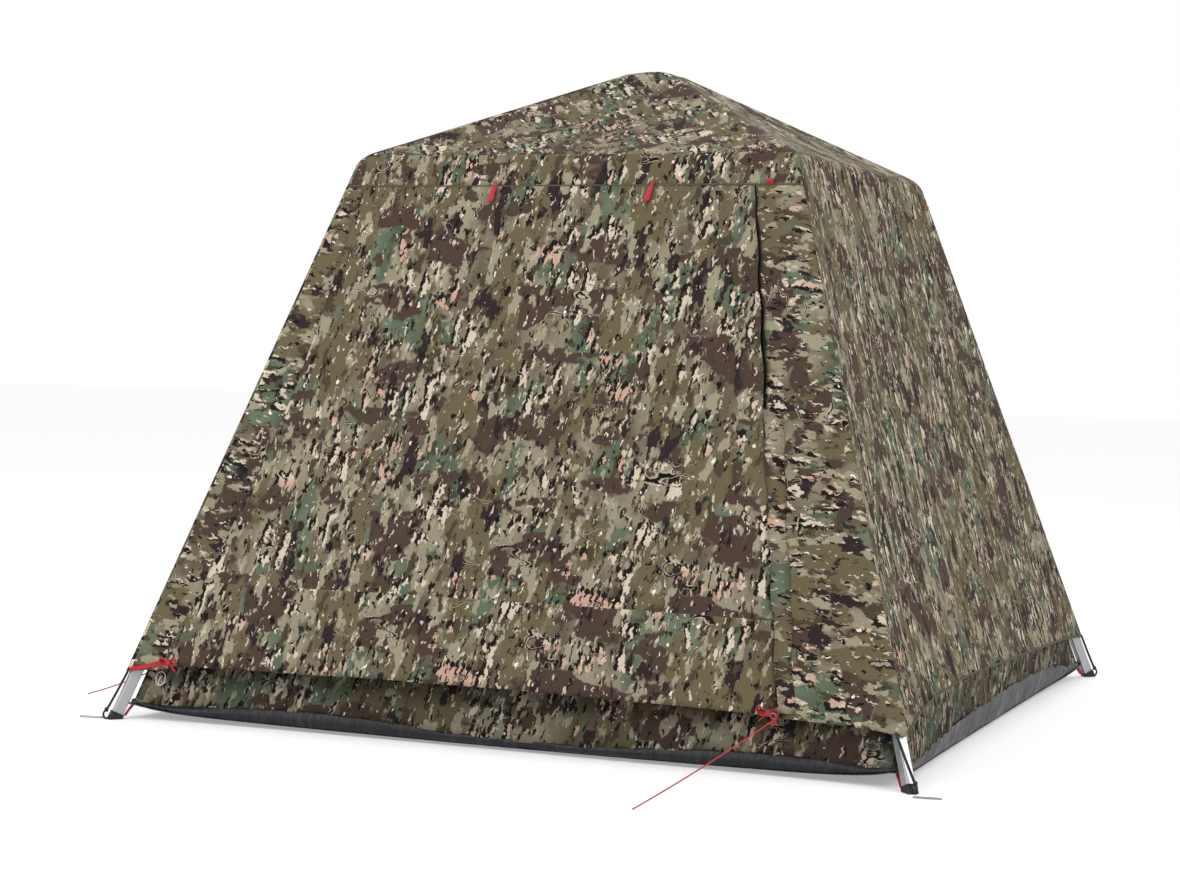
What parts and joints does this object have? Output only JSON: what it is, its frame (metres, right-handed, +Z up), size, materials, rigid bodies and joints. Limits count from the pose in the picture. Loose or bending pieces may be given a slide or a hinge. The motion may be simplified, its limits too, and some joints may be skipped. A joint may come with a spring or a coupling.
{
  "type": "pop up ground blind",
  "caption": "Quick-erecting camouflage cabin blind with floor, door flap, outer fly and a folding hub-and-leg frame.",
  "frame": {"origin": "on the ground, under the centre of the hub", "axes": "+Z up; the door flap faces -Y; +X is to the right of someone looking at the door"},
  "size_m": [2.8276, 2.9836, 1.992],
  "materials": {
    "camo_fabric": "coated polyester, printed camouflage",
    "tub_fabric": "woven polyethylene sheet",
    "mesh_fabric": "fine insect mesh",
    "tube_aluminium": "satin extruded tube",
    "steel": "plated steel",
    "black_plastic": "moulded nylon",
    "red_webbing": "woven webbing",
    "red_cord": "braided cord",
    "black_cord": "elastic cord",
    "white_cord": "braided cord"
  },
  "bodies": {
    "tent": {"floor_sheet": "tub_fabric", "floor_sides": "tub_fabric", "inner_tent": "camo_fabric", "fly_roof": "camo_fabric", "fly_walls": "camo_fabric", "zip_tapes": "black_cord", "corner_tabs": "red_webbing", "foot_straps": "red_webbing", "bungee_cords": "black_cord", "pegs": "steel", "cord_ring": "white_cord"},
    "hub": {"hub_body": "black_plastic", "hub_cap": "black_plastic", "hub_pins": "steel"},
    "arm_back_right": {"arm_tube_back_right": "tube_aluminium", "arm_fittings_back_right": "black_plastic", "elbow_pin_back_right": "steel"},
    "arm_back_left": {"arm_tube_back_left": "tube_aluminium", "arm_fittings_back_left": "black_plastic", "elbow_pin_back_left": "steel"},
    "arm_front_left": {"arm_tube_front_left": "tube_aluminium", "arm_fittings_front_left": "black_plastic", "elbow_pin_front_left": "steel"},
    "arm_front_right": {"arm_tube_front_right": "tube_aluminium", "arm_fittings_front_right": "black_plastic", "elbow_pin_front_right": "steel"},
    "upper_leg_back_right": {"upper_leg_back_right": "tube_aluminium", "leg_knuckle_back_right": "black_plastic", "leg_collar_back_right": "black_plastic"},
    "upper_leg_back_left": {"upper_leg_back_left": "tube_aluminium", "leg_knuckle_back_left": "black_plastic", "leg_collar_back_left": "black_plastic"},
    "upper_leg_front_left": {"upper_leg_front_left": "tube_aluminium", "leg_knuckle_front_left": "black_plastic", "leg_collar_front_left": "black_plastic"},
    "upper_leg_front_right": {"upper_leg_front_right": "tube_aluminium", "leg_knuckle_front_right": "black_plastic", "leg_collar_front_right": "black_plastic"},
    "lower_leg_back_right": {"lower_leg_back_right": "tube_aluminium", "foot_back_right": "black_plastic"},
    "lower_leg_back_left": {"lower_leg_back_left": "tube_aluminium", "foot_back_left": "black_plastic"},
    "lower_leg_front_left": {"lower_leg_front_left": "tube_aluminium", "foot_front_left": "black_plastic"},
    "lower_leg_front_right": {"lower_leg_front_right": "tube_aluminium", "foot_front_right": "black_plastic"},
    "button_back_right": {"snap_button_back_right": "steel"},
    "button_back_left": {"snap_button_back_left": "steel"},
    "button_front_left": {"snap_button_front_left": "steel"},
    "button_front_right": {"snap_button_front_right": "steel"},
    "door_flap": {"door_flap": "camo_fabric", "hem_ties": "red_webbing"},
    "inner_door": {"inner_door": "mesh_fabric"},
    "slider_left": {"zip_slider_left": "black_plastic"},
    "slider_right": {"zip_slider_right": "black_plastic"},
    "toggle_left": {"toggle_left": "red_webbing"},
    "toggle_right": {"toggle_right": "red_webbing"},
    "guy_left": {"guy_line_left": "red_cord"},
    "guy_right": {"guy_line_right": "red_cord"}
  },
  "joints": [
    {"name": "hub_fold", "type": "slide", "parent": "tent", "child": "hub", "axis": [0, 0, 1], "range_m": [-1.82259, 0], "deforming": ["floor_sides", "inner_tent", "inner_door", "fly_roof", "fly_walls", "door_flap", "zip_tapes", "corner_tabs", "foot_straps", "bungee_cords", "cord_ring", "hem_ties", "zip_slider_left", "zip_slider_right", "toggle_left", "toggle_right", "guy_line_left", "guy_line_right"]},
    {"name": "arm_hinge_back_right", "type": "hinge", "parent": "hub", "child": "arm_back_right", "pos_m": [0.03394, 0.03394, 1.935], "axis": [0.7071, -0.7071, 0], "range_deg": [0, 107.3]},
    {"name": "elbow_hinge_back_right", "type": "hinge", "parent": "arm_back_right", "child": "upper_leg_back_right", "pos_m": [0.65083, 0.65083, 1.64547], "axis": [0.7071, -0.7071, 0], "range_deg": [-132, 0]},
    {"name": "leg_slide_back_right", "type": "slide", "parent": "upper_leg_back_right", "child": "lower_leg_back_right", "axis": [-0.2955, -0.2955, 0.9085], "range_m": [0, 0.808], "deforming": ["snap_button_back_right"]},
    {"name": "button_press_back_right", "type": "slide", "parent": "lower_leg_back_right", "child": "button_back_right", "axis": [-0.6424, -0.6424, -0.4179], "range_m": [0, 0.005], "stiffness_N_per_m": 400},
    {"name": "arm_hinge_back_left", "type": "hinge", "parent": "hub", "child": "arm_back_left", "pos_m": [-0.03394, 0.03394, 1.935], "axis": [0.7071, 0.7071, 0], "range_deg": [0, 107.3]},
    {"name": "elbow_hinge_back_left", "type": "hinge", "parent": "arm_back_left", "child": "upper_leg_back_left", "pos_m": [-0.65083, 0.65083, 1.64547], "axis": [0.7071, 0.7071, 0], "range_deg": [-132, 0]},
    {"name": "leg_slide_back_left", "type": "slide", "parent": "upper_leg_back_left", "child": "lower_leg_back_left", "axis": [0.2955, -0.2955, 0.9085], "range_m": [0, 0.808], "deforming": ["snap_button_back_left"]},
    {"name": "button_press_back_left", "type": "slide", "parent": "lower_leg_back_left", "child": "button_back_left", "axis": [0.6424, -0.6424, -0.4179], "range_m": [0, 0.005], "stiffness_N_per_m": 400},
    {"name": "arm_hinge_front_left", "type": "hinge", "parent": "hub", "child": "arm_front_left", "pos_m": [-0.03394, -0.03394, 1.935], "axis": [-0.7071, 0.7071, 0], "range_deg": [0, 107.3]},
    {"name": "elbow_hinge_front_left", "type": "hinge", "parent": "arm_front_left", "child": "upper_leg_front_left", "pos_m": [-0.65083, -0.65083, 1.64547], "axis": [-0.7071, 0.7071, 0], "range_deg": [-132, 0]},
    {"name": "leg_slide_front_left", "type": "slide", "parent": "upper_leg_front_left", "child": "lower_leg_front_left", "axis": [0.2955, 0.2955, 0.9085], "range_m": [0, 0.808], "deforming": ["snap_button_front_left"]},
    {"name": "button_press_front_left", "type": "slide", "parent": "lower_leg_front_left", "child": "button_front_left", "axis": [0.6424, 0.6424, -0.4179], "range_m": [0, 0.005], "stiffness_N_per_m": 400},
    {"name": "arm_hinge_front_right", "type": "hinge", "parent": "hub", "child": "arm_front_right", "pos_m": [0.03394, -0.03394, 1.935], "axis": [-0.7071, -0.7071, 0], "range_deg": [0, 107.3]},
    {"name": "elbow_hinge_front_right", "type": "hinge", "parent": "arm_front_right", "child": "upper_leg_front_right", "pos_m": [0.65083, -0.65083, 1.64547], "axis": [-0.7071, -0.7071, 0], "range_deg": [-132, 0]},
    {"name": "leg_slide_front_right", "type": "slide", "parent": "upper_leg_front_right", "child": "lower_leg_front_right", "axis": [-0.2955, 0.2955, 0.9085], "range_m": [0, 0.808], "deforming": ["snap_button_front_right"]},
    {"name": "button_press_front_right", "type": "slide", "parent": "lower_leg_front_right", "child": "button_front_right", "axis": [-0.6424, 0.6424, -0.4179], "range_m": [0, 0.005], "stiffness_N_per_m": 400},
    {"name": "door_flap_lift", "type": "hinge", "parent": "tent", "child": "door_flap", "pos_m": [0, -0.72209, 1.57707], "axis": [-1, 0, 0], "range_deg": [0, 85]},
    {"name": "inner_door_swing", "type": "hinge", "parent": "tent", "child": "inner_door", "pos_m": [-0.505, -0.87767, 0.86469], "axis": [0.1341, 0.3066, 0.9424], "range_deg": [0, 100]},
    {"name": "zip_slide_left", "type": "slide", "parent": "tent", "child": "slider_left", "axis": [0.2633, 0.2931, 0.9191], "range_m": [0, 1.4277]},
    {"name": "zip_slide_right", "type": "slide", "parent": "tent", "child": "slider_right", "axis": [-0.1671, 0.2996, 0.9393], "range_m": [0, 1.3969]},
    {"name": "toggle_swing_left", "type": "hinge", "parent": "door_flap", "child": "toggle_left", "pos_m": [-0.219, -0.73201, 1.58548], "axis": [-1, 0, 0], "range_deg": [0, 150]},
    {"name": "toggle_swing_right", "type": "hinge", "parent": "door_flap", "child": "toggle_right", "pos_m": [0.275, -0.73201, 1.58548], "axis": [-1, 0, 0], "range_deg": [0, 150]},
    {"name": "guy_swing_left", "type": "hinge", "parent": "door_flap", "child": "guy_left", "pos_m": [-1.055, -1.1845, 0.162], "axis": [0.2654, -0.084, -0.9605], "range_deg": [0, 55.28]},
    {"name": "guy_swing_right", "type": "hinge", "parent": "door_flap", "child": "guy_right", "pos_m": [0.834, -1.1845, 0.162], "axis": [0.7566, -0.057, -0.6514], "range_deg": [0, 153.73]}
  ],
  "couplings": [
    {"joint": "arm_hinge_back_right", "follows": "hub_fold", "rad_per_m": -1.0275},
    {"joint": "elbow_hinge_back_right", "follows": "hub_fold", "rad_per_m": 1.264},
    {"joint": "leg_slide_back_right", "follows": "hub_fold", "ratio": -0.44333},
    {"joint": "arm_hinge_back_left", "follows": "hub_fold", "rad_per_m": -1.0275},
    {"joint": "elbow_hinge_back_left", "follows": "hub_fold", "rad_per_m": 1.264},
    {"joint": "leg_slide_back_left", "follows": "hub_fold", "ratio": -0.44333},
    {"joint": "arm_hinge_front_left", "follows": "hub_fold", "rad_per_m": -1.0275},
    {"joint": "elbow_hinge_front_left", "follows": "hub_fold", "rad_per_m": 1.264},
    {"joint": "leg_slide_front_left", "follows": "hub_fold", "ratio": -0.44333},
    {"joint": "arm_hinge_front_right", "follows": "hub_fold", "rad_per_m": -1.0275},
    {"joint": "elbow_hinge_front_right", "follows": "hub_fold", "rad_per_m": 1.264},
    {"joint": "leg_slide_front_right", "follows": "hub_fold", "ratio": -0.44333},
    {"joint": "guy_swing_left", "follows": "door_flap_lift", "ratio": 0.65034},
    {"joint": "guy_swing_right", "follows": "door_flap_lift", "ratio": 1.8084}
  ]
}
